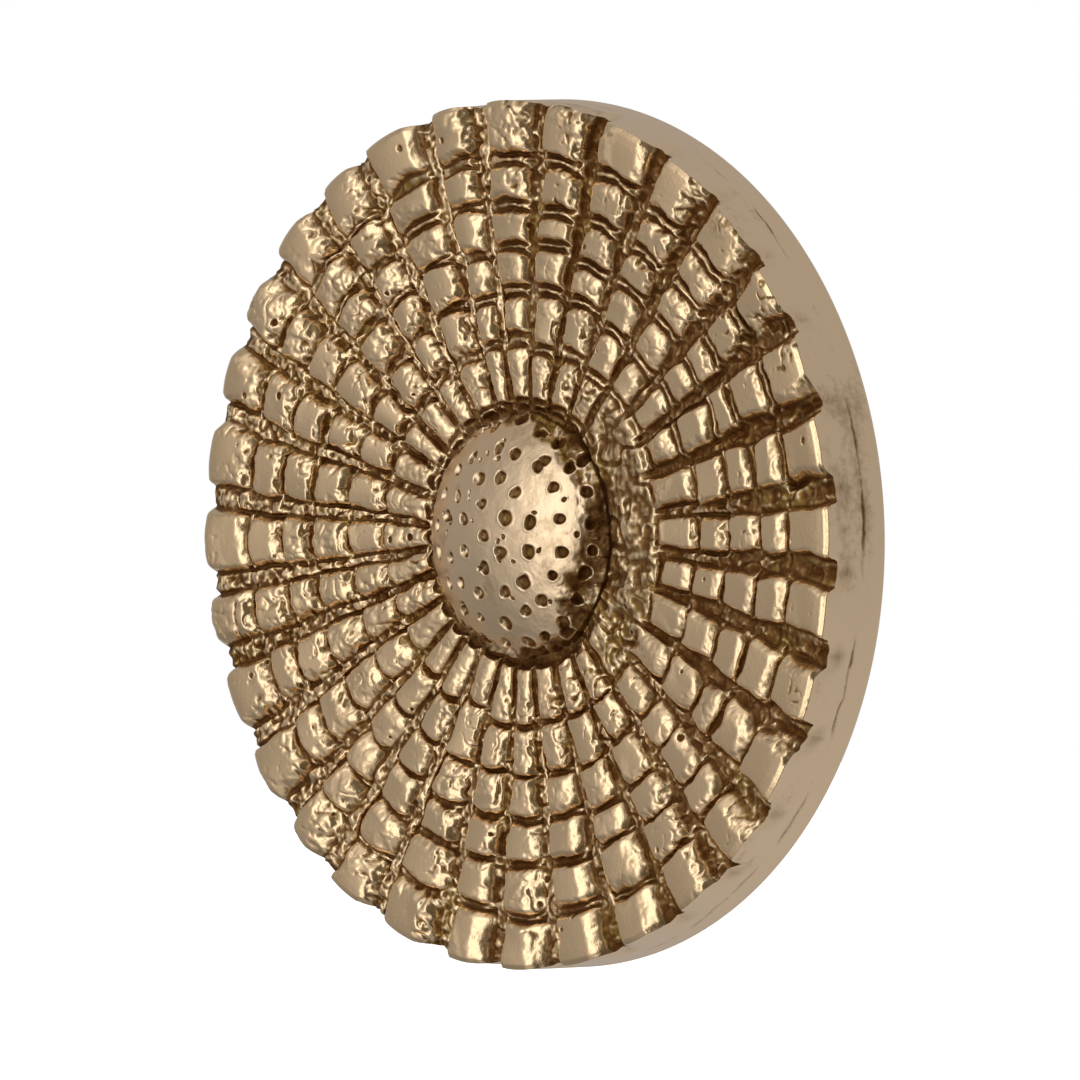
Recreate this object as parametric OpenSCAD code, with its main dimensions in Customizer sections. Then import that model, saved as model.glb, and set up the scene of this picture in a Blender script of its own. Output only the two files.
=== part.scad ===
// Round cabinet knob in cast brass.
// The head is a disc whose face is a very shallow dish. Grooves cut the face into petals, and
// ring grooves cut each petal into a row of pads. A dimpled boss sits in the middle. A turned
// post stands the head off the drawer front: its tenon goes through the head and into the
// boss, so that the head is held between the two.
//
// Each sub-part is drawn along +Z, from the drawer front out into the room. as_mounted()
// then turns it so that the face looks towards -Y, with +Z up and the foot of the post at
// the origin.

/* [Head] */
// Diameter of the disc
head_d = 45; // [44:0.5:48]
// Depth of the side wall, from the back to the highest part of the face
rim_depth = 4.7; // [4:0.1:5]
// How far the face dips from its edge to the recess round the boss
face_dish = 0.7; // [0.3:0.1:0.9]
// Width of the sloping edge round the face
edge_w = 0.7; // [0.5:0.1:0.9]
// How far that edge falls before it meets the side wall
edge_drop = 0.3; // [0.2:0.1:0.5]
// Rounding where the side wall meets the back
back_round = 0.4; // [0.3:0.1:0.6]

/* [Petals] */
// Number of petals round the face
petal_count = 32; // [24:2:36]
// Depth of the grooves between petals at their inner ends
petal_groove_inner = 0.5; // [0.4:0.1:0.6]
// Depth of the same grooves where they run out through the side wall
petal_groove_outer = 1.2; // [0.8:0.1:1.4]
// Angle between the two sides of a petal groove
petal_groove_angle = 54; // [40:2:58]
// Width of the ring grooves at the face
ring_groove_w = 0.6; // [0.5:0.1:0.8]
// Depth of the ring grooves
ring_groove_depth = 0.6; // [0.4:0.1:0.8]

/* [Boss] */
// Diameter of the boss
boss_d = 12.9; // [12.4:0.1:13]
// Height of the boss above the face round it
boss_h = 2.8; // [2.4:0.1:3.2]
// Diameter of one dimple
dimple_d = 0.85; // [0.6:0.05:0.95]
// Rings of dimples round the middle one
dimple_rings = 4; // [3:1:4]

/* [Post] */
// Height of the post, from the drawer front to the back of the head
post_h = 14; // [12:0.5:16]
// Diameter of the post at its foot and under the head
post_d = 12; // [11:0.5:14]
// Diameter of the post at its waist
waist_d = 9; // [8:0.5:10]
// Diameter of the tenon that holds the head and the boss
tenon_d = 6; // [5:0.5:7]

/* [Thread] */
// Nominal diameter of the machine screw
thread_d = 4; // [3:1:5]
// Depth of the threaded hole
thread_depth = 10; // [8:0.5:10]
// Chamfer at the mouth of the threaded hole
thread_chamfer = 0.4; // [0.2:0.1:0.6]

/* [Hidden] */
$fn = 96;

head_r = head_d / 2;
boss_r = boss_d / 2;
dish_r = head_r - edge_w;
overshoot = 1;

// The ring grooves, from the rim inwards, and the inner ends of the petals, as shares of
// the disc's radius. The pads get shorter towards the middle.
ring_shares = [0.87, 0.765, 0.67, 0.56, 0.44];
petal_inner_share = 0.305;
petal_inner_r = petal_inner_share * head_r;
petal_pitch = 360 / petal_count;

// The boss sits in a shallow recess that is a little wider than itself, which leaves the
// dark seam round its base.
recess_depth = 0.6;
recess_r = petal_inner_r;
dome_base_z = post_h + face_height(recess_r);
boss_base_z = dome_base_z - recess_depth;
boss_sphere_r = (boss_r * boss_r + boss_h * boss_h) / (2 * boss_h);
boss_sphere_z = dome_base_z + boss_h - boss_sphere_r;
boss_half_angle = asin(boss_r / boss_sphere_r);
dimple_step = boss_half_angle / (dimple_rings + 0.6);
dimples_in_first_ring = 6;
dimple_fn = 24;

// The tenon ends inside the boss.
tenon_in_boss = 1.6;
tenon_h = boss_base_z - post_h + tenon_in_boss;

// The waist of the post is one round hollow that leaves a plain land at each end.
post_land = 2.2;
waist_depth = (post_d - waist_d) / 2;
waist_half_h = post_h / 2 - post_land;
waist_arc_r = (pow(waist_half_h, 2) + pow(waist_depth, 2)) / (2 * waist_depth);
foot_round = 0.4;

// Height of the dished face above the back of the disc, at radius r.
function face_height(r) = rim_depth - face_dish * (dish_r - r) / (dish_r - recess_r);

// Turns a sub-part from its own +Z to the way that it is mounted.
module as_mounted() {
    rotate([90, 0, 0]) children();
}

// Half of the disc's cross-section: the dish and its sloping edge, and a rounded back edge.
module disc_section() {
    polygon([
        [0, back_round],
        [head_r, back_round],
        [head_r, rim_depth - edge_drop],
        [dish_r, rim_depth],
        [recess_r, face_height(recess_r)],
        [0, face_height(recess_r)],
    ]);
    square([head_r - back_round, back_round]);
    translate([head_r - back_round, back_round]) circle(back_round);
}

// One ring groove at radius r, a little narrower at its floor.
module ring_groove(r) {
    top = ring_groove_w / 2;
    floor_w = 0.5 * top;
    rotate_extrude()
        translate([r, face_height(r)])
            polygon([
                [-floor_w, -ring_groove_depth],
                [floor_w, -ring_groove_depth],
                [top, 0],
                [top, overshoot],
                [-top, overshoot],
                [-top, 0],
            ]);
}

// One groove between two petals, along +X. It gets deeper towards the rim and so wider.
module petal_groove() {
    start_r = petal_inner_r - overshoot;
    run = head_r - start_r;
    inner_floor = face_height(petal_inner_r) - petal_groove_inner;
    outer_floor = rim_depth - petal_groove_outer;
    fall = atan((inner_floor - outer_floor) / run);
    height = petal_groove_outer + overshoot;
    half_w = height * tan(petal_groove_angle / 2);
    translate([start_r, 0, inner_floor])
        rotate([0, fall, 0])
            rotate([90, 0, 90])
                linear_extrude(run + overshoot)
                    polygon([[0, 0], [half_w, height], [-half_w, height]]);
}

// The cast disc, with a petal centred on +X and a hole for the tenon.
module head() {
    color("darkgoldenrod")
        as_mounted()
            translate([0, 0, post_h])
                difference() {
                    rotate_extrude() disc_section();
                    for (share = ring_shares) ring_groove(share * head_r);
                    for (i = [0 : petal_count - 1])
                        rotate([0, 0, (i + 0.5) * petal_pitch]) petal_groove();
                    translate([0, 0, face_height(recess_r) - recess_depth])
                        cylinder(r = recess_r, h = recess_depth + overshoot);
                    translate([0, 0, -overshoot])
                        cylinder(d = tenon_d, h = rim_depth + 2 * overshoot);
                }
}

// The dimples, in rings about the boss's axis on the surface of its dome.
module dimples() {
    translate([0, 0, boss_sphere_z]) {
        translate([0, 0, boss_sphere_r]) sphere(d = dimple_d, $fn = dimple_fn);
        for (ring = [1 : dimple_rings]) {
            count = dimples_in_first_ring * ring;
            for (i = [0 : count - 1])
                rotate([0, ring * dimple_step, (i + 0.5) * 360 / count])
                    translate([0, 0, boss_sphere_r]) sphere(d = dimple_d, $fn = dimple_fn);
        }
    }
}

// The dome, its short skirt down in the recess, and the socket for the end of the tenon.
module centre_boss() {
    color("goldenrod")
        as_mounted()
            difference() {
                union() {
                    translate([0, 0, boss_base_z]) cylinder(r = boss_r, h = recess_depth);
                    intersection() {
                        translate([0, 0, boss_sphere_z]) sphere(r = boss_sphere_r);
                        translate([0, 0, dome_base_z])
                            cylinder(r = head_r, h = boss_h + overshoot);
                    }
                }
                dimples();
                translate([0, 0, boss_base_z - overshoot])
                    cylinder(d = tenon_d, h = tenon_in_boss + overshoot);
            }
}

// Half of the post's cross-section, with a rounded foot and the hollow waist.
module post_section() {
    difference() {
        union() {
            translate([0, foot_round]) square([post_d / 2, post_h - foot_round]);
            square([post_d / 2 - foot_round, foot_round]);
            translate([post_d / 2 - foot_round, foot_round]) circle(foot_round);
        }
        translate([waist_d / 2 + waist_arc_r, post_h / 2]) circle(waist_arc_r);
    }
}

// The turned post, with its tenon and the threaded hole up from its foot.
module post() {
    mouth_r = thread_d / 2 + thread_chamfer;
    color("peru")
        as_mounted()
            difference() {
                union() {
                    rotate_extrude() post_section();
                    translate([0, 0, post_h - overshoot])
                        cylinder(d = tenon_d, h = tenon_h + overshoot);
                }
                translate([0, 0, -overshoot])
                    cylinder(d = thread_d, h = thread_depth + overshoot);
                translate([0, 0, -thread_chamfer])
                    cylinder(r1 = mouth_r + thread_chamfer, r2 = thread_d / 2,
                             h = 2 * thread_chamfer);
            }
}

head();
centre_boss();
post();
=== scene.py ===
"""Cabinet knob in antiqued cast brass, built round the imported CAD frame.

Each piece is one closed mesh made from a grid of points: rings about the knob's axis,
each with the same number of points. Lengths are in millimetres, in a frame whose z runs
from the foot of the post out to the face, and place() turns that into the row frame.
"""
import math

import bpy
import numpy as np
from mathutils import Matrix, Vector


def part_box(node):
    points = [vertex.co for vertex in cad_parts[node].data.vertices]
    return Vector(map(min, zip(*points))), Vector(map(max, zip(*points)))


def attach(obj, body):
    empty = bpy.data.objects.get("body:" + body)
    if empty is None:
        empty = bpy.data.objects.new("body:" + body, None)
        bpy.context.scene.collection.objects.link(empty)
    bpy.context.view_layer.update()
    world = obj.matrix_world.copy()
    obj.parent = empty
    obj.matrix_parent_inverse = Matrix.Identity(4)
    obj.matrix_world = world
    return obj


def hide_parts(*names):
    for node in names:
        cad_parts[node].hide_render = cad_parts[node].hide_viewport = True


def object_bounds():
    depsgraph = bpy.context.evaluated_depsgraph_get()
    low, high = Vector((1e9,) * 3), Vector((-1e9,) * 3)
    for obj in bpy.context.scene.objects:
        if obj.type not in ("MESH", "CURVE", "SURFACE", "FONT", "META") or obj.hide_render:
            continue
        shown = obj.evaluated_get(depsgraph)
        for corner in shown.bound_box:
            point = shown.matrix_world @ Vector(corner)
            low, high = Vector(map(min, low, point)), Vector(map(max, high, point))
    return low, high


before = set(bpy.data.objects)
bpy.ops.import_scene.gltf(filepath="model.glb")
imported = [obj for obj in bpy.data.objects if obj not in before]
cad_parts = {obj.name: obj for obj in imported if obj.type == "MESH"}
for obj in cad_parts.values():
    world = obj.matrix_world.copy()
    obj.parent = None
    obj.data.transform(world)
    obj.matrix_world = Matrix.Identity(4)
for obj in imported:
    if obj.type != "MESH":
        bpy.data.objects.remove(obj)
cad_low, cad_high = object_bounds()

MM = 0.001
TAU = 2 * math.pi


def node_size(node):
    """A node's radius about the knob's axis, and the heights of its foot and its top."""
    low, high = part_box(node)
    return (high.x - low.x) / 2 / MM, -high.y / MM, -low.y / MM


HEAD_R, BACK_Z, FACE_Z = node_size("head")
BOSS_R, BOSS_BASE_Z, BOSS_TOP_Z = node_size("centre_boss")
POST_R, _, TENON_Z = node_size("post")
RIM_DEPTH = FACE_Z - BACK_Z

# Sizes of the CAD model that its nodes' boxes don't show.
TENON_R = 3.0
WAIST_R, POST_LAND, FOOT_ROUND = 4.5, 2.2, 0.4
RECESS_DEPTH = 0.6
EDGE_WIDTH, EDGE_DROP = 0.7, 0.3
BACK_ROUND = 0.4
DOME_BASE_Z = BOSS_BASE_Z + RECESS_DEPTH
DISH = FACE_Z - DOME_BASE_Z

# How far the side wall's mesh stands inside the CAD model's.
SKIN = 0.01

# The petals and the ring grooves that cut them into pads, as shares of the disc's radius.
PETALS = 32
PITCH = TAU / PETALS
RING_SHARES = (1.0, 0.87, 0.765, 0.67, 0.56, 0.44, 0.305)
RECESS_R = RING_SHARES[-1] * HEAD_R


# ---------------------------------------------------------------- numbers and noise

def smoothstep(low, high, x):
    t = np.clip((x - low) / (high - low), 0, 1)
    return t * t * (3 - 2 * t)


def soft_max(a, b, width):
    """The larger of a and b, with the corner between them rounded over width."""
    blend = np.clip(0.5 + 0.5 * (a - b) / width, 0, 1)
    return b + (a - b) * blend + width * blend * (1 - blend)


def noise(x, y, cell, seed):
    """Smooth noise from -1 to 1 over the plane, with features about cell across."""
    side = 256
    table = np.random.default_rng(seed).uniform(-1, 1, (side, side))
    u, v = x / cell, y / cell
    i, j = np.floor(u).astype(int), np.floor(v).astype(int)
    fu, fv = u - i, v - j
    fu, fv = fu * fu * (3 - 2 * fu), fv * fv * (3 - 2 * fv)
    i0, i1, j0, j1 = i % side, (i + 1) % side, j % side, (j + 1) % side
    near = table[i0, j0] * (1 - fv) + table[i0, j1] * fv
    far = table[i1, j0] * (1 - fv) + table[i1, j1] * fv
    return near * (1 - fu) + far * fu


def lumps(x, y, cell, seed, octaves=3):
    """Noise with finer noise on it, each octave half as large and half as high."""
    total = sum(noise(x, y, cell / 2**k, seed + k) / 2**k for k in range(octaves))
    return total / (2 - 2 / 2**octaves)


def creases(x, y, cell, seed):
    """Narrow wandering lines of value 1 on a ground of 0, one or two of them to each cell."""
    return 1 - smoothstep(0, 0.24, np.abs(lumps(x, y, cell, seed, octaves=2)))


def blurred(values, radii, sigma):
    """values on rings of the given radii, blurred by sigma millimetres both ways."""
    waves = np.fft.rfft(values, axis=1)
    order = np.arange(waves.shape[1])
    waves *= np.exp(-0.5 * (order * sigma / radii[:, None]) ** 2)
    round_the_rings = np.fft.irfft(waves, n=values.shape[1], axis=1)
    weights = np.exp(-0.5 * ((radii[:, None] - radii) / sigma) ** 2)
    return weights @ round_the_rings / weights.sum(1, keepdims=True)


# ---------------------------------------------------------------- meshes

def place(x, y, z):
    """Points of the knob's own frame, in millimetres, in the row frame, in metres."""
    return np.stack([x, -z, y], axis=-1) * MM


class Rings:
    """Rings of points about the knob's axis, each with a darkness, from tarnish and painted
    shade, and a satin from 0 to 1.

    Each value is one number for the whole ring, or one for each of its columns.
    """

    def __init__(self, columns):
        self.theta = np.arange(columns) * TAU / columns
        self.rows = []

    def add(self, r, z, patina, satin=1.0):
        self.rows.append([np.broadcast_to(v, self.theta.shape) for v in (r, z, patina, satin)])

    def stacked(self):
        """The points of all the rings in the row frame, their darkness from tarnish and
        painted shade, and their satin.
        """
        r, z, patina, satin = np.moveaxis(np.array(self.rows, float), 1, 0)
        return place(r * np.cos(self.theta), r * np.sin(self.theta), z), patina, satin


def grid_mesh(name, points, closed, **attributes):
    """A mesh from rings of points. Closed joins the last ring to the first; otherwise the
    first and last rings are each filled with one face."""
    rings, count = points.shape[:2]
    here = np.arange(rings if closed else rings - 1)
    ring, column = np.meshgrid(here, np.arange(count), indexing="ij")
    after, right = (ring + 1) % rings, (column + 1) % count
    quads = np.stack([
        ring * count + column,
        ring * count + right,
        after * count + right,
        after * count + column,
    ], axis=-1).reshape(-1, 4)
    mesh = bpy.data.meshes.new(name)
    faces = quads.tolist()
    if not closed:
        faces.append(list(range(count))[::-1])
        faces.append([(rings - 1) * count + k for k in range(count)])
    mesh.from_pydata(points.reshape(-1, 3).tolist(), [], faces)
    for key, values in attributes.items():
        layer = mesh.attributes.new(key, "FLOAT", "POINT")
        layer.data.foreach_set("value", values.reshape(-1).astype(np.float32))
    mesh.polygons.foreach_set("use_smooth", np.ones(len(mesh.polygons), bool))
    piece = bpy.data.objects.new(name, mesh)
    bpy.context.scene.collection.objects.link(piece)
    return piece


# ---------------------------------------------------------------- the face of the head

# The points in one ring of the face's mesh, and how far apart its rings are.
COLUMNS = 1680
RELIEF_STEP = 0.055

CRACK_DEPTH = 0.6
BEAD_HEIGHT, BEAD_HALF_WIDTH = 0.3, 0.15
GROOVE_INNER_DEPTH, GROOVE_DEEPENING = 0.48, 0.62
PORE_COUNT = 90
WIDE_CRACKS_AT = math.radians(50)
PETAL_TURN = -0.09 * PITCH

# Stands for the distance to a crack where there is none.
NO_CRACK = 9.0

# Each petal, groove and pad differs a little from the others.
rng = np.random.default_rng(11)
groove_jitter = PETAL_TURN + rng.normal(0, 0.045, PETALS).clip(-0.09, 0.09) * PITCH
groove_depth = rng.uniform(-0.12, 0.12, PETALS)
ring_jitter = rng.normal(0, 0.17, (PETALS, len(RING_SHARES))).clip(-0.3, 0.3)
pad_tilt = rng.normal(0, 0.045, (PETALS, len(RING_SHARES), 2)).clip(-0.09, 0.09)
pad_drop = rng.uniform(0, 0.06, (PETALS, len(RING_SHARES)))
bevel_share = rng.uniform(0.42, 0.7, (PETALS, len(RING_SHARES)))


def groove_angle(k, r):
    """Angle of groove k at radius r. It lies between petals k and k + 1, and wanders."""
    wander = 0.13 * noise(r, 7.3 * (k % PETALS), 3.5, seed=3)
    wander = wander + 0.05 * noise(r, 5.1 * (k % PETALS), 0.9, seed=4)
    return (k + 0.5) * PITCH + groove_jitter[k % PETALS] + wander / r


def petal_place(theta, r):
    """The petal at each point, the distance from its middle, and half its width there."""
    petal = np.round(theta / PITCH).astype(int)
    petal = petal + (theta > groove_angle(petal, r)) - (theta < groove_angle(petal - 1, r))
    low, high = groove_angle(petal - 1, r), groove_angle(petal, r)
    return petal % PETALS, (theta - (low + high) / 2) * r, (high - low) / 2 * r


def pad_place(petal, r):
    """The ring that each point's pad is in, and the radii of that pad's two ends."""
    ends = np.array(RING_SHARES) * HEAD_R + ring_jitter
    ends[:, 0], ends[:, -1] = HEAD_R, RECESS_R
    ring = sum((r < ends[petal, k]).astype(int) for k in range(1, len(RING_SHARES) - 1))
    return ring, ends[petal, ring], ends[petal, ring + 1]


class FacePattern:
    """Where each point of the face lies among the petals and their pads.

    petal and ring say which pad a point belongs to. across and beyond are its distances
    from that pad's middle, round the knob and outwards. from_side and from_end say how far
    it is inside the pad's edges. in_groove and in_crack go from 0 on the pad to 1 on the
    floor of the groove or crack beside it.
    """

    def __init__(self, theta, r):
        self.theta, self.r, self.share = theta, r, r / HEAD_R
        self.x, self.y = r * np.cos(theta), r * np.sin(theta)
        self.upwards = smoothstep(-0.1, 0.8, np.sin(theta))
        self.leftwards = smoothstep(-0.4, 0.8, 0.5 * np.sin(theta) - 0.87 * np.cos(theta))
        self.rightwards = smoothstep(0.3, 0.9, np.cos(theta))
        self.wide_cracks = smoothstep(0.6, 0.95, np.cos(theta - WIDE_CRACKS_AT))
        self.find_pads()
        self.part_pads()

    def noise(self, cell, seed):
        return noise(self.x, self.y, cell, seed)

    def lumps(self, cell, seed, octaves=3):
        return lumps(self.x, self.y, cell, seed, octaves)

    def creases(self, cell, seed):
        return creases(self.x, self.y, cell, seed)

    def find_pads(self):
        """The pad at each point. Pads' ends wander, and bow outwards in mid petal."""
        self.petal, self.across, self.half_pitch = petal_place(self.theta, self.r)
        bent_r = self.r + 0.16 * self.lumps(2.2, 20) + 0.1 * self.lumps(0.8, 21)
        self.bent_r = bent_r + 0.22 * (self.across / self.half_pitch) ** 2
        self.ring, self.outer, self.inner = pad_place(self.petal, self.bent_r)
        self.middle_r = (self.inner + self.outer) / 2
        self.beyond = self.bent_r - self.middle_r

    def part_pads(self):
        """Grooves part the petals, and narrower cracks part each petal's pads."""
        half_groove = 0.16 + (0.54 + 0.14 * self.rightwards) * self.share**2
        self.half_groove = half_groove * (1 + 0.3 * self.noise(1.3, 24))
        half_crack = 0.14 + 0.15 * self.upwards + 0.08 * self.wide_cracks
        uneven = 0.6 * self.noise(1.7, 25) * (1 - self.wide_cracks)
        self.half_crack = half_crack * (1 + uneven)
        self.half_w = self.half_pitch - self.half_groove
        self.half_l = (self.outer - self.inner) / 2 - self.half_crack
        self.from_side = self.half_w - np.abs(self.across)
        from_outer = np.where(self.ring == 0, NO_CRACK, self.outer - self.bent_r)
        self.from_end = np.minimum(self.bent_r - self.inner, from_outer) - self.half_crack
        slope_share = 0.55 + 0.4 * self.rightwards * self.share**4
        self.in_groove = smoothstep(0, slope_share, -self.from_side / self.half_groove)
        self.in_crack = smoothstep(0, 0.6, -self.from_end / self.half_crack)

    def pad_tops(self):
        """Height of the pads' tops. Each is tilted and sunk a little, and crowned across."""
        tilt = pad_tilt[self.petal, self.ring]
        top = tilt[..., 0] * self.across + tilt[..., 1] * (self.r - self.middle_r)
        crown = 0.06 + 0.06 * self.leftwards
        top = top - 0.02 - pad_drop[self.petal, self.ring]
        return top - crown * (self.across / self.half_w) ** 2

    def bevel_falls(self):
        """How far a pad has fallen at its bevels, and by the bevels on its sides alone. A
        bevel gets steeper down to the pad's edge, and it is wider where it faces +X."""
        half = bevel_share[self.petal, self.ring] * np.minimum(self.half_w, self.half_l)
        side_faces_x = -np.sin(self.theta) * np.sign(self.across)
        end_faces_x = np.cos(self.theta) * np.sign(self.beyond)
        side_bevel = half * (0.45 + 0.75 * smoothstep(-0.2, 0.8, side_faces_x))
        end_bevel = half * (0.45 + 0.75 * smoothstep(-0.2, 0.8, end_faces_x))
        side = soft_max(side_bevel - self.from_side, 0, 0.2) / side_bevel
        end = soft_max(end_bevel - self.from_end, 0, 0.2) / end_bevel
        both = (side**1.8 + end**1.8) ** (1 / 1.8)
        falls = []
        for past in (both, side):
            past = np.minimum(past, 1.3)
            falls.append(half * (0.38 * past + 0.3 * past**2.5))
        return falls

    def far_side(self):
        """1 on the +X side of each pad, and 0 on its -X side."""
        towards_x = self.beyond * np.cos(self.theta) - self.across * np.sin(self.theta)
        return smoothstep(-0.3, 0.5, towards_x)

    def crack_floor(self, top, side_fall):
        """The cracks' floors, with a bead along some of them. Where a crack runs out into a
        groove, its floor stays below the sides of the pads beside it."""
        beaded = self.upwards * smoothstep(0.1, 0.5, self.noise(2.1, 29))
        beaded = np.maximum(beaded, self.wide_cracks) * (1 + 0.5 * self.noise(0.7, 27))
        from_middle = self.from_end + self.half_crack
        bead = BEAD_HEIGHT * beaded * np.exp(-((from_middle / BEAD_HALF_WIDTH) ** 2))
        return np.minimum(-CRACK_DEPTH + bead, top - side_fall - 0.1)

    def groove_floor(self):
        """The grooves' floors. They get deeper outwards, less so towards -X, and towards +X
        their sides come up where they run out through the side wall."""
        nearest = (self.petal - (self.across < 0)) % PETALS
        shallow = 0.55 * smoothstep(0.3, -0.5, np.cos(self.theta))
        depth = GROOVE_INNER_DEPTH + GROOVE_DEEPENING * self.share**3 * (1 - shallow)
        floor = -depth - groove_depth[nearest] * self.share
        floor = floor + (0.12 + 0.14 * shallow) * self.lumps(0.6, 40)
        to_middle = np.clip(-self.from_side / self.half_groove, 0, 1)
        run_out = self.rightwards * smoothstep(0.88, 0.96, self.share)
        return floor + run_out * (0.45 - 0.5 * to_middle * (2 - to_middle))


def relief(theta, r):
    """Height of the cast face above its own dished plane, how polished it is from 0 to 1,
    and how far each point is down in a groove or in a crack, both from 0 to 1."""
    face = FacePattern(theta, r)
    top = face.pad_tops()
    fall, side_fall = face.bevel_falls()
    cast = top - fall * (1 + 0.3 * face.noise(1.1, 28))
    cast = cast + (face.crack_floor(top, side_fall) - cast) * face.in_crack

    # The innermost ring is rougher than the rest. Towards +X it has no clear pads at all.
    towards_x = smoothstep(0.35, 0.9, np.cos(theta))
    inner_ring = smoothstep(0.47, 0.42, face.share)
    blend = inner_ring * (0.2 + 0.75 * towards_x)
    mound = -0.16 + 0.3 * face.lumps(1.1, 31) - 0.12 * face.creases(1.3, 33)
    cast = cast * (1 - blend) + mound * blend
    in_groove, in_crack = face.in_groove * (1 - blend), face.in_crack * (1 - blend)
    cast = cast + (face.groove_floor() - cast) * in_groove
    edge = RECESS_R - 0.1 + 0.25 * face.lumps(1.0, 45)
    cast = cast - 0.12 * (1 - towards_x) * (1 - smoothstep(edge - 0.15, edge + 0.2, r))

    # Lumps and creases cover the whole face, and are heavier on each pad's +X side.
    coarse = smoothstep(-0.3, 0.5, face.noise(5.0, 51) + 0.5 * face.leftwards)
    coarse = coarse * (0.3 + 0.7 * face.far_side())
    rough = (0.04 + 0.12 * coarse) * (1 - 0.5 * blend) + 0.03 * in_groove
    cast = cast + rough * face.lumps(0.45, 50, octaves=2)
    inside = 1 - smoothstep(0.9, 0.97, face.share)
    deep = 0.02 + 0.07 * coarse + 0.05 * in_groove * inside
    cast = cast - deep * face.creases(0.8, 55)

    # The pads' tops are cut back to a smooth surface, apart from patches that it misses.
    missed = smoothstep(0.2, 0.7, face.noise(3.2, 60) + 0.2 * face.leftwards)
    buffed = top - 0.06 + 0.09 * missed + 0.25 * blend + 0.006 * face.lumps(1.1, 70)
    height = -soft_max(-cast, -buffed, 0.02)
    polish = smoothstep(-0.01, 0.02, cast - buffed)
    return np.minimum(height, -0.002), polish, in_groove, in_crack


def dished(r):
    """Height of the dished plane above the rim's, at radius r."""
    return -DISH * np.clip((HEAD_R - EDGE_WIDTH - r) / (HEAD_R - EDGE_WIDTH - RECESS_R), 0, 1)


def edge_fall(r):
    """How far the petals' ends fall towards the side wall, as a bevel with a soft start."""
    width = 0.35 * EDGE_WIDTH
    steep = soft_max((r - HEAD_R) / width + 1, 0, 0.15)
    start = np.clip((r - HEAD_R) / (2 * EDGE_WIDTH) + 1, 0, 1)
    return EDGE_DROP * (0.45 * steep + 0.3 * start**2)


def pores(theta, r):
    """Small casting pores, mostly on the outer pads."""
    x, y = r * np.cos(theta), r * np.sin(theta)
    pits = np.zeros_like(x)
    spots = np.random.default_rng(77)
    for _ in range(PORE_COUNT):
        at, angle = HEAD_R * math.sqrt(spots.uniform(0.12, 0.93)), spots.uniform(0, TAU)
        size, deep = spots.uniform(0.06, 0.19), spots.uniform(0.08, 0.16)
        stretch = spots.uniform(1, 1.7)
        rows = np.abs(r[:, 0] - at) < 3 * size
        away_x, away_y = x[rows] - at * math.cos(angle), y[rows] - at * math.sin(angle)
        away = np.hypot(away_x * stretch, away_y) / size
        pits[rows] = np.maximum(pits[rows], deep * np.exp(-(away**4)))
    return pits


def face_patina(theta, r, height, pits, polish, in_groove, in_crack):
    """How dark the face is, from 0 to 1, as tarnish and painted shade. It is darker in its
    hollows, grooves and pores, round the boss and towards +X, and lighter where it is
    polished. In the hollows, round the boss and towards +X that darkening is partly painted
    shade."""
    radii = r[:, 0]
    # The tight and the broad hollows. Their darkening is patina, and partly painted shade as
    # occlusion gives.
    corner = np.clip((blurred(height, radii, 0.12) - height) / 0.05, -0.6, 1.2)
    valley = np.clip((blurred(height, radii, 0.4) - height) / 0.22, -0.4, 1)
    x, y = r * np.cos(theta), r * np.sin(theta)
    # Darker round the boss's foot: patina, and partly painted shade in the moat between the
    # dome and the face.
    moat = smoothstep(0.5, -0.1, r - RECESS_R + 0.3 * lumps(x, y, 1.1, seed=160))
    # Darker towards +X, over the face and in its grooves: partly patina, and partly painted
    # shade that dims the highlights on that side.
    rightwards = smoothstep(-0.3, 0.8, x / HEAD_R)
    stale = 0.14 + 0.08 * rightwards + 0.2 * lumps(x, y, 4.0, seed=165)
    lip = in_groove * smoothstep(HEAD_R - 0.5, HEAD_R - 0.15, r)
    down = np.maximum(in_groove, in_crack) ** 2
    unclean = smoothstep(0.47, 0.42, r / HEAD_R) * (0.2 + 0.8 * rightwards)
    patina = 0.05 + 0.24 * rightwards + (0.1 + stale) * down + 0.32 * unclean
    patina = patina + 0.46 * corner + 0.24 * valley
    patina = (patina + 0.25 * moat + 0.3 * lip) * (1 - 0.8 * polish)
    return np.clip(patina + 0.6 * smoothstep(0.01, 0.06, pits), 0, 1)


def add_face(rings, start_r):
    """The face, from start_r out to the rim. It returns what the side wall carries on from:
    the height of the rim, how far each point of it is in a groove, and its scallop."""
    radii = np.append(np.arange(start_r, HEAD_R, RELIEF_STEP), HEAD_R)
    theta, r = np.broadcast_arrays(rings.theta, radii[:, None])
    height, polish, in_groove, in_crack = relief(theta, r)
    pits = pores(theta, r)
    height = height - pits
    patina = face_patina(theta, r, height, pits, polish, in_groove, in_crack)
    height = height + dished(r) - edge_fall(r) * (1 - 0.7 * in_groove)

    # The petals' ends are a little round in plan.
    _, across, half_pitch = petal_place(rings.theta, np.full(COLUMNS, HEAD_R))
    scallop = 0.3 * np.abs(across / half_pitch) ** 2.5
    for k, radius in enumerate(radii):
        pulled = radius - scallop * smoothstep(HEAD_R - 1.2, HEAD_R, radius)
        rings.add(pulled, FACE_Z + height[k], patina[k], satin=0)
    return height[-1], in_groove[-1], scallop


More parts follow.
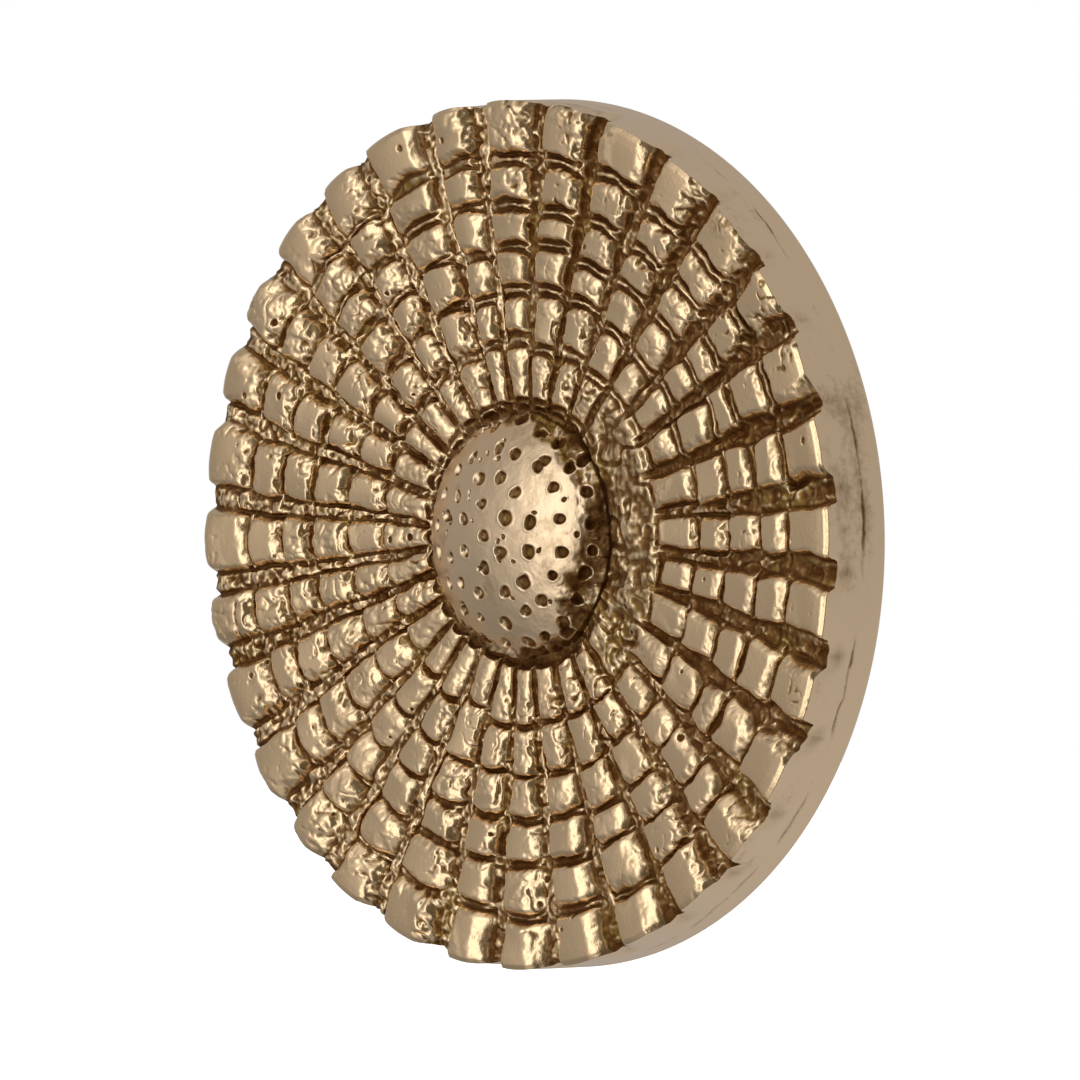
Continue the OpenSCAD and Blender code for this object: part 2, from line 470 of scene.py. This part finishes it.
def add_side_wall(rings, top, in_groove, scallop):
    """The side wall, from the uneven edge of the face down round the back edge."""
    wall_steps, round_steps = 56, 6
    theta, bottom = rings.theta, BACK_ROUND - RIM_DEPTH
    for t in np.linspace(0, 1, wall_steps + 1)[1:]:
        z = top + (bottom - top) * t
        scalloped = scallop * (1 - smoothstep(0, 1.3, top - z))
        seam = wall_seam(theta, z)
        # Painted shade on the wall just below where each groove runs out.
        stain_and_shade = 0.6 * in_groove * smoothstep(0.16, 0.0, top - z)
        unrolled = 0.4 * HEAD_R + z
        smudge = lumps(unrolled * np.cos(theta), unrolled * np.sin(theta), 1.5, seed=98)
        patina = np.clip(0.07 + 0.2 * smudge, 0, 0.3) + stain_and_shade + 8 * seam
        rings.add(HEAD_R - scalloped - seam - SKIN, FACE_Z + z, patina)
    for angle in np.linspace(0, math.pi / 2, round_steps + 1)[1:]:
        r = HEAD_R - SKIN - BACK_ROUND * (1 - math.cos(angle))
        rings.add(r, BACK_Z + BACK_ROUND * (1 - math.sin(angle)), 0)


def add_back(rings):
    """The back, a little dented and blotched, in to the tenon's hole."""
    for r in np.linspace(HEAD_R - BACK_ROUND - 0.15, TENON_R, 90):
        x, y = r * np.cos(rings.theta), r * np.sin(rings.theta)
        dent = 0.025 * (1 + lumps(x, y, 2.4, seed=80)) * smoothstep(POST_R, POST_R + 1, r)
        near_post = smoothstep(POST_R + 1.6, POST_R - 0.2, r)
        cloudy = 0.08 + 0.22 * lumps(x, y, 3.0, seed=85)
        rings.add(r, BACK_Z + dent, np.clip(cloudy + 0.6 * near_post, 0, 1))


def head_rings():
    """The head, as rings from the tenon's hole over its face, side wall and back."""
    rings = Rings(COLUMNS)
    boss_gap, recess_patina = 0.02, 0.6
    start_r = BOSS_R + boss_gap
    for r in (TENON_R, start_r - 0.03):
        rings.add(r, BOSS_BASE_Z, recess_patina, satin=0)
    add_side_wall(rings, *add_face(rings, start_r))
    add_back(rings)
    return rings.stacked()


def wall_seam(theta, z):
    """Depth of the ragged parting line round the side wall."""
    x, y = HEAD_R * np.cos(theta), HEAD_R * np.sin(theta)
    middle = 0.3 * lumps(x, y, 6.0, seed=90) + 0.16 * lumps(x, y, 1.1, seed=95)
    middle = middle - 0.62 * RIM_DEPTH
    strong = smoothstep(-0.4, 0.5, lumps(x, y, 2.4, seed=97))
    width = 0.07 + 0.05 * noise(x, y, 0.9, seed=96)
    return 0.04 * strong * np.exp(-(((z - middle) / width) ** 2))


# ---------------------------------------------------------------- the centre boss

def dimple_places(half_angle, spots):
    """The tilt from the axis, the turn about it and the scale of each dimple and pinhole."""
    rings_of_dimples, first_ring = 4, 6
    step = half_angle / (rings_of_dimples + 0.55)
    places = [(0.0, 0.0)] + [
        (ring * step, (i + 0.5) / (first_ring * ring) * TAU)
        for ring in range(1, rings_of_dimples + 1) for i in range(first_ring * ring)
    ]
    # One dimple in nine has another run into it.
    run_in = 0.045
    places += [(tilt + run_in, turn) for tilt, turn in places[3::9]]
    pinhole_count, pinhole_scale = 26, 0.4
    pinholes = [(spots.uniform(0.1, half_angle), spots.uniform(0, TAU), pinhole_scale)
                for _ in range(pinhole_count)]
    return [(tilt, turn, 1.0) for tilt, turn in places] + pinholes


def dimples(x, y, sphere_r, half_angle):
    """Depth of the dimples at points of the dome, and where they are stained, where their rims
    and the burrs round them are, from 0 to 1. The -X wall of each, which faces the light, is
    left unstained as a painted highlight."""
    warp = 0.1 * np.stack([noise(x, y, 0.5, seed=101), noise(x, y, 0.5, seed=102)], axis=-1)
    depth, stain_and_shade, rim, burr = (np.zeros_like(x) for _ in range(4))
    spots = np.random.default_rng(5)
    for tilt, turn, scale in dimple_places(half_angle, spots):
        tilt += spots.normal(0, 0.014)
        turn += spots.normal(0, 0.018) / max(math.sin(tilt), 0.1)
        size = spots.uniform(0.3, 0.42) * scale
        deep = spots.uniform(0.2, 0.32) * scale
        out = np.array([math.cos(turn), math.sin(turn)])
        flat = np.stack([x, y], axis=-1) + warp - sphere_r * math.sin(tilt) * out
        along = flat @ out / math.cos(tilt)
        aside = flat @ np.array([-out[1], out[0]])
        away = np.hypot(along, aside) / size
        # Each dimple's -X wall faces the light. Keeping the stain off it paints a highlight
        # there.
        lit_wall = smoothstep(0.15, 0.7, -flat[..., 0] / size)
        depth = np.maximum(depth, deep * smoothstep(1.14, 0.4, away))
        stain_and_shade = np.maximum(stain_and_shade, smoothstep(1.05, 0.85, away) * (1 - 0.9 * lit_wall))
        rim = np.maximum(rim, np.exp(-(((away - 0.85) / 0.2) ** 2)))
        burr = np.maximum(burr, np.exp(-(((away - 1.2) / 0.18) ** 2)))
    return depth, stain_and_shade, rim, burr


def boss_rings():
    """The dimpled dome, its skirt down in the recess, and its flat underside and socket."""
    rings, steps, satin = Rings(600), 150, 0.8
    dome_h = BOSS_TOP_Z - DOME_BASE_Z
    sphere_r = (BOSS_R**2 + dome_h**2) / (2 * dome_h)
    sphere_z = BOSS_TOP_Z - sphere_r
    half_angle = math.asin(BOSS_R / sphere_r)
    tilt = np.linspace(0.004, half_angle, steps)[:, None]
    x = np.sin(tilt) * np.cos(rings.theta) * sphere_r
    y = np.sin(tilt) * np.sin(rings.theta) * sphere_r
    depth, stain_and_shade, rim, burr = dimples(x, y, sphere_r, half_angle)

    # The dome is rough round its foot, and further up its +X side.
    towards_x = smoothstep(0.2, 0.95, np.cos(rings.theta))
    ragged = tilt / half_angle + 0.09 * towards_x + 0.1 * lumps(x, y, 1.6, seed=110)
    rough = smoothstep(0.84, 0.94, ragged)
    undulation = 0.02 * lumps(x, y, 1.8, seed=120)
    texture = 0.012 * lumps(x, y, 0.4, seed=130) + 0.3 * rough * lumps(x, y, 0.55, seed=140)
    texture = texture - 0.18 * rough * creases(x, y, 0.8, seed=145)
    burr = burr * (0.6 + 0.7 * lumps(x, y, 0.8, seed=125))
    shape = -0.06 - depth + (0.03 + 0.03 * rough) * burr + undulation
    radius = sphere_r + np.minimum(shape + texture - 0.06 * rough, 0)

    # The dimples' stain, kept off their lit -X walls as a painted highlight.
    dark = stain_and_shade * (0.6 + 0.3 * rim)
    tarnish = 0.2 * smoothstep(-0.1, 0.5, lumps(x, y, 1.2, seed=155))
    patina = dark + rough * (0.55 + 0.7 * lumps(x, y, 0.6, seed=150) - 0.5 * burr)
    patina = np.clip(patina + tarnish, 0, 1)
    dome_r, dome_z = radius * np.sin(tilt), sphere_z + radius * np.cos(tilt)
    for k in range(steps):
        rings.add(dome_r[k], dome_z[k], patina[k], satin)
    for t in np.linspace(0.15, 1, 8):
        rings.add(dome_r[-1], dome_z[-1] + (BOSS_BASE_Z - dome_z[-1]) * t, 0.6, satin)
    for z in (BOSS_BASE_Z, TENON_Z):
        rings.add(TENON_R, z, 1.0, satin)
    return rings.stacked()


# ---------------------------------------------------------------- the post

def post_radius(z):
    """The post's radius at height z: a rounded foot, and a hollow waist between two lands."""
    waist_depth = POST_R - WAIST_R
    half_h = BACK_Z / 2 - POST_LAND
    arc_r = (half_h**2 + waist_depth**2) / (2 * waist_depth)
    from_middle = abs(z - BACK_Z / 2)
    r = POST_R
    if from_middle < half_h:
        r = min(POST_R, WAIST_R + arc_r - math.sqrt(arc_r**2 - from_middle**2))
    low = max(FOOT_ROUND - z, 0)
    return r - FOOT_ROUND + math.sqrt(FOOT_ROUND**2 - low**2)


def add_thread(rings, major_r, minor_r, depth):
    """The thread, down to the foot. Its radius depends on the height and the turn together,
    which makes it a helix. It runs out at its top and opens into a chamfer at the foot."""
    pitch, chamfer, lead_in = 0.7, 0.4, 0.5
    for z in np.linspace(depth, chamfer, 190):
        phase = (z / pitch - rings.theta / TAU) % 1
        crest = 1 - np.abs(2 * phase - 1)
        runs_out = smoothstep(0, 0.8, depth - z)
        r = minor_r + (major_r - minor_r) * smoothstep(0.1, 0.9, crest) * runs_out
        r = np.maximum(r, minor_r + max(chamfer + lead_in - z, 0))
        rings.add(r, z, 0.45)
    rings.add(major_r + chamfer, 0, 0.1)


def post_rings():
    """The turned post with its waist, its tenon and the M4 thread up from its foot."""
    rings, inset = Rings(192), 0.008
    heights = np.concatenate([
        FOOT_ROUND * (1 - np.cos(np.linspace(0, math.pi / 2, 8))),
        np.linspace(FOOT_ROUND, BACK_Z, 220)[1:],
    ])
    for z in heights:
        tool_mark = 0.006 * math.sin(z * 31) * math.sin(z * 7.7)
        rings.add(post_radius(z) - inset + tool_mark, z, 0)
    axis_r, major_r, minor_r, depth, drill_point = 0.02, 2.0, 1.62, 10.0, 0.8
    for r, z in ((TENON_R, BACK_Z), (TENON_R, TENON_Z), (axis_r, TENON_Z)):
        rings.add(r, z, 0.3)
    for r, z in ((axis_r, depth + drill_point), (minor_r, depth)):
        rings.add(r, z, 1.0)
    add_thread(rings, major_r, minor_r, depth)
    return rings.stacked()


# ---------------------------------------------------------------- materials

class Nodes:
    """A small helper for building a node tree."""

    def __init__(self, tree):
        self.tree = tree

    def node(self, kind, operation=None, **inputs):
        made = self.tree.nodes.new(kind)
        if operation:
            made.operation = operation
        for key, value in inputs.items():
            self.feed(made.inputs[key.replace("_", " ")], value)
        return made

    def feed(self, socket, value):
        if isinstance(value, bpy.types.NodeSocket):
            self.tree.links.new(value, socket)
        else:
            socket.default_value = value

    def math(self, operation, *values, clamp=False):
        made = self.node("ShaderNodeMath", operation)
        made.use_clamp = clamp
        for socket, value in zip(made.inputs, values):
            self.feed(socket, value)
        return made.outputs[0]

    def spread(self, value, width):
        """value, which is noise from 0 to 1, as noise of that width about zero."""
        return self.math("MULTIPLY_ADD", value, width, -width / 2)

    def attribute(self, name):
        made = self.tree.nodes.new("ShaderNodeAttribute")
        made.attribute_name = name
        return made.outputs["Fac"]

    def noise(self, vector, scale, detail=4.0, rough=0.55):
        made = self.node("ShaderNodeTexNoise", Vector=vector, Scale=scale,
                         Detail=detail, Roughness=rough)
        return made.outputs["Fac"]

    def ramp(self, value, *stops):
        made = self.node("ShaderNodeValToRGB", Fac=value)
        points = made.color_ramp.elements
        while len(points) < len(stops):
            points.new(0.5)
        for point, (at, colour) in zip(points, stops):
            point.position = at
            point.color = (*colour, 1) if isinstance(colour, tuple) else (colour,) * 3 + (1,)
        return made.outputs["Color"]

    def mix(self, factor, a, b):
        made = self.tree.nodes.new("ShaderNodeMix")
        made.data_type = "RGBA"
        self.feed(made.inputs["Factor"], factor)
        self.feed(made.inputs["A"], a if isinstance(a, bpy.types.NodeSocket) else (*a, 1))
        self.feed(made.inputs["B"], b if isinstance(b, bpy.types.NodeSocket) else (*b, 1))
        return made.outputs["Result"]

    def bump(self, height, distance):
        made = self.node("ShaderNodeBump", Height=height, Distance=distance, Strength=1.0)
        return made.outputs["Normal"]


class Shader(Nodes):
    """The nodes of a new material. surface is its Principled BSDF."""

    def __init__(self, name):
        self.material = bpy.data.materials.new(name)
        self.material.use_nodes = True
        super().__init__(self.material.node_tree)
        self.surface = self.tree.nodes["Principled BSDF"]


POLISHED = (0.80, 0.575, 0.345)
SATIN = (0.82, 0.61, 0.40)
WORN_GOLD = (0.47, 0.33, 0.18)
BROWN = (0.26, 0.135, 0.05)
NEARLY_BLACK = (0.15, 0.06, 0.014)
OLIVE = (0.32, 0.20, 0.04)


def antiqued_brass():
    """Cast brass: from polished, where it is clean, through gold and brown to nearly
    black, with olive stains here and there. Its darkness is tarnish, and partly painted shade."""
    s = Shader("antiqued_brass")
    here = s.node("ShaderNodeTexCoord").outputs["Object"]
    patina, satin = s.attribute("patina"), s.attribute("satin")
    fine = s.spread(s.noise(here, 2600, 5.0, 0.6), 0.35)
    broad = s.spread(s.noise(here, 260), 0.35)
    amount = s.math("ADD", s.math("ADD", patina, fine), broad)
    clean = s.mix(satin, POLISHED, SATIN)
    colour = s.mix(s.ramp(amount, (0.15, 0.0), (0.34, 1.0)), clean, WORN_GOLD)
    colour = s.mix(s.ramp(amount, (0.34, 0.0), (0.5, 1.0)), colour, BROWN)
    colour = s.mix(s.ramp(amount, (0.64, 0.0), (1.0, 1.0)), colour, NEARLY_BLACK)
    green = s.ramp(s.noise(here, 190, 2.0), (0.52, 0.0), (0.63, 0.8))
    band = s.ramp(amount, (0.25, 0.0), (0.45, 1.0), (0.75, 0.0))
    colour = s.mix(s.math("MULTIPLY", green, band), colour, OLIVE)
    s.feed(s.surface.inputs["Base Color"], colour)
    rough = s.ramp(amount, (0.1, 0.2), (0.4, 0.44), (0.8, 0.62))
    s.feed(s.surface.inputs["Roughness"], s.math("MULTIPLY_ADD", satin, 0.14, rough))
    s.surface.inputs["Metallic"].default_value = 1.0
    grain = s.noise(here, 5200, 4.0, 0.6)
    grain = s.math("MULTIPLY", grain, s.math("ADD", amount, 0.15, clamp=True))
    s.feed(s.surface.inputs["Normal"], s.bump(grain, 0.00006))
    return s.material


def turned_brass():
    """Turned brass: satin, with fine rings of tool marks about the knob's axis."""
    s = Shader("turned_brass")
    here = s.node("ShaderNodeTexCoord").outputs["Object"]
    stretched = s.node("ShaderNodeMapping", Vector=here, Scale=(40, 9000, 40))
    marks = s.noise(stretched.outputs["Vector"], 1.0, 3.0)
    smears = s.noise(here, 420, 4.0)
    amount = s.math("ADD", s.attribute("patina"), s.spread(smears, 0.35))
    colour = s.ramp(amount, (0.08, POLISHED), (0.5, WORN_GOLD), (0.85, BROWN))
    s.feed(s.surface.inputs["Base Color"], colour)
    rough = s.ramp(s.math("ADD", smears, amount), (0.3, 0.22), (1.0, 0.42))
    s.feed(s.surface.inputs["Roughness"], rough)
    s.surface.inputs["Metallic"].default_value = 1.0
    s.feed(s.surface.inputs["Normal"], s.bump(marks, 0.00001))
    return s.material


# ---------------------------------------------------------------- pieces

def add_piece(name, node, rings, material, closed=True):
    points, patina, satin = rings
    piece = grid_mesh(name, points, closed, patina=patina, satin=satin)
    piece.data.materials.append(material)
    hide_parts(node)
    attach(piece, "root")


cast_material = antiqued_brass()
add_piece("head_cast", "head", head_rings(), cast_material)
add_piece("centre_boss_dimpled", "centre_boss", boss_rings(), cast_material,
          closed=False)
add_piece("post_turned", "post", post_rings(), turned_brass())


# ---------------------------------------------------------------- floor, light and camera

def add_floor():
    """A plain pale floor below the knob, too bright to show an edge against the background."""
    size, gap = 4.0, 0.012
    mesh = bpy.data.meshes.new("floor")
    half = size / 2
    z = cad_low.z - gap
    mesh.from_pydata([(-half, -half, z), (half, -half, z), (half, half, z), (-half, half, z)],
                     [], [(0, 1, 2, 3)])
    floor = bpy.data.objects.new("floor", mesh)
    bpy.context.scene.collection.objects.link(floor)
    s = Shader("pale_floor")
    s.surface.inputs["Base Color"].default_value = (0.9, 0.9, 0.9, 1)
    s.surface.inputs["Roughness"].default_value = 0.9
    s.surface.inputs["Specular IOR Level"].default_value = 0.0
    s.surface.inputs["Emission Color"].default_value = (1, 1, 1, 1)
    s.surface.inputs["Emission Strength"].default_value = 0.95
    mesh.materials.append(s.material)
    floor.visible_glossy = False


def studio_grey(level):
    """A grey of that level, warmer where it is dark."""
    warmth = max(0, 0.4 - level) / 0.28
    return (level * (1 + 0.15 * warmth), level, level * (1 - 0.3 * warmth))


def add_world():
    """White to the camera. To the metal it is a grey studio that is darker below, and dark
    on the camera's own side, to the right of the soft light."""
    world = bpy.data.worlds.new("studio")
    bpy.context.scene.world = world
    world.use_nodes = True
    w = Nodes(world.node_tree)
    generated = w.node("ShaderNodeTexCoord").outputs["Generated"]
    way = w.node("ShaderNodeSeparateXYZ", Vector=generated).outputs

    # Brightness by azimuth in degrees, counted as the camera's is.
    levels = {-180: 0.50, -75: 0.40, -50: 0.40, -38: 0.53, -20: 0.74, -2: 0.95, 28: 0.80,
              42: 0.14, 88: 0.12, 112: 0.50, 180: 0.50}
    turn = w.math("ARCTAN2", way["X"], w.math("MULTIPLY", way["Y"], -1.0))
    around = w.ramp(w.math("MULTIPLY_ADD", turn, 1 / TAU, 0.5), *(
        (degrees / 360 + 0.5, studio_grey(level)) for degrees, level in levels.items()))

    # Downwards it gets darker in front of the knob, and lighter behind it.
    below = w.node("ShaderNodeMapRange", Value=way["Y"],
                   From_Min=0.1, From_Max=0.6, To_Min=0.65, To_Max=1.2)
    share = w.node("ShaderNodeMapRange", Value=way["Z"], From_Min=-0.75, From_Max=0.1,
                   To_Min=below.outputs["Result"], To_Max=1.0).outputs["Result"]
    shade = w.node("ShaderNodeVectorMath", "SCALE", Vector=around, Scale=share)
    studio = w.tree.nodes["Background"]
    w.feed(studio.inputs["Color"], shade.outputs["Vector"])
    white = w.node("ShaderNodeBackground", Color=(1, 1, 1, 1))
    to_camera = w.node("ShaderNodeLightPath").outputs["Is Camera Ray"]
    chosen = w.node("ShaderNodeMixShader", Fac=to_camera)
    w.feed(chosen.inputs[1], studio.outputs[0])
    w.feed(chosen.inputs[2], white.outputs[0])
    w.feed(w.tree.nodes["World Output"].inputs["Surface"], chosen.outputs[0])


def add_soft_light(name, azimuth, elevation, distance, width, height, radiance, colour):
    """A soft rectangular light that faces the disc. radiance is its brightness as seen."""
    data = bpy.data.lights.new(name, "AREA")
    data.shape = "RECTANGLE"
    data.size, data.size_y = width, height
    data.energy = radiance * math.pi * width * height
    data.color = colour
    light = bpy.data.objects.new(name, data)
    bpy.context.scene.collection.objects.link(light)
    a, e = math.radians(azimuth), math.radians(elevation)
    aim = np.array([0, -FACE_Z * MM, 0])
    way = np.array([math.sin(a) * math.cos(e), -math.cos(a) * math.cos(e), math.sin(e)])
    light.location = aim + way * distance
    light.rotation_euler = (math.pi / 2 - e, 0, a)
    light.visible_camera = False


def add_camera():
    """Level with the knob, 44 degrees to the right of its axis, far off with a long lens."""
    azimuth, roll = math.radians(44.15), math.radians(1.9)
    distance, lens = 1.5, 967.0
    aside, below = 0.00156, 0.00030
    to_camera = np.array([math.sin(azimuth), -math.cos(azimuth), 0])
    rightwards = np.array([math.cos(azimuth), math.sin(azimuth), 0])
    aim = np.array([0, -FACE_Z * MM, 0]) + aside * rightwards - np.array([0, 0, below])
    data = bpy.data.cameras.new("camera")
    data.lens = lens
    data.clip_start = 0.01
    camera = bpy.data.objects.new("camera", data)
    camera.location = aim + distance * to_camera
    camera.rotation_euler = (math.pi / 2, roll, azimuth)
    bpy.context.scene.collection.objects.link(camera)
    bpy.context.scene.camera = camera


add_floor()
add_world()
add_soft_light("key", 14, 2, 0.5, 0.26, 0.9, 1.0, (1.0, 1.03, 1.03))
add_camera()
bpy.context.scene.view_settings.view_transform = "Standard"
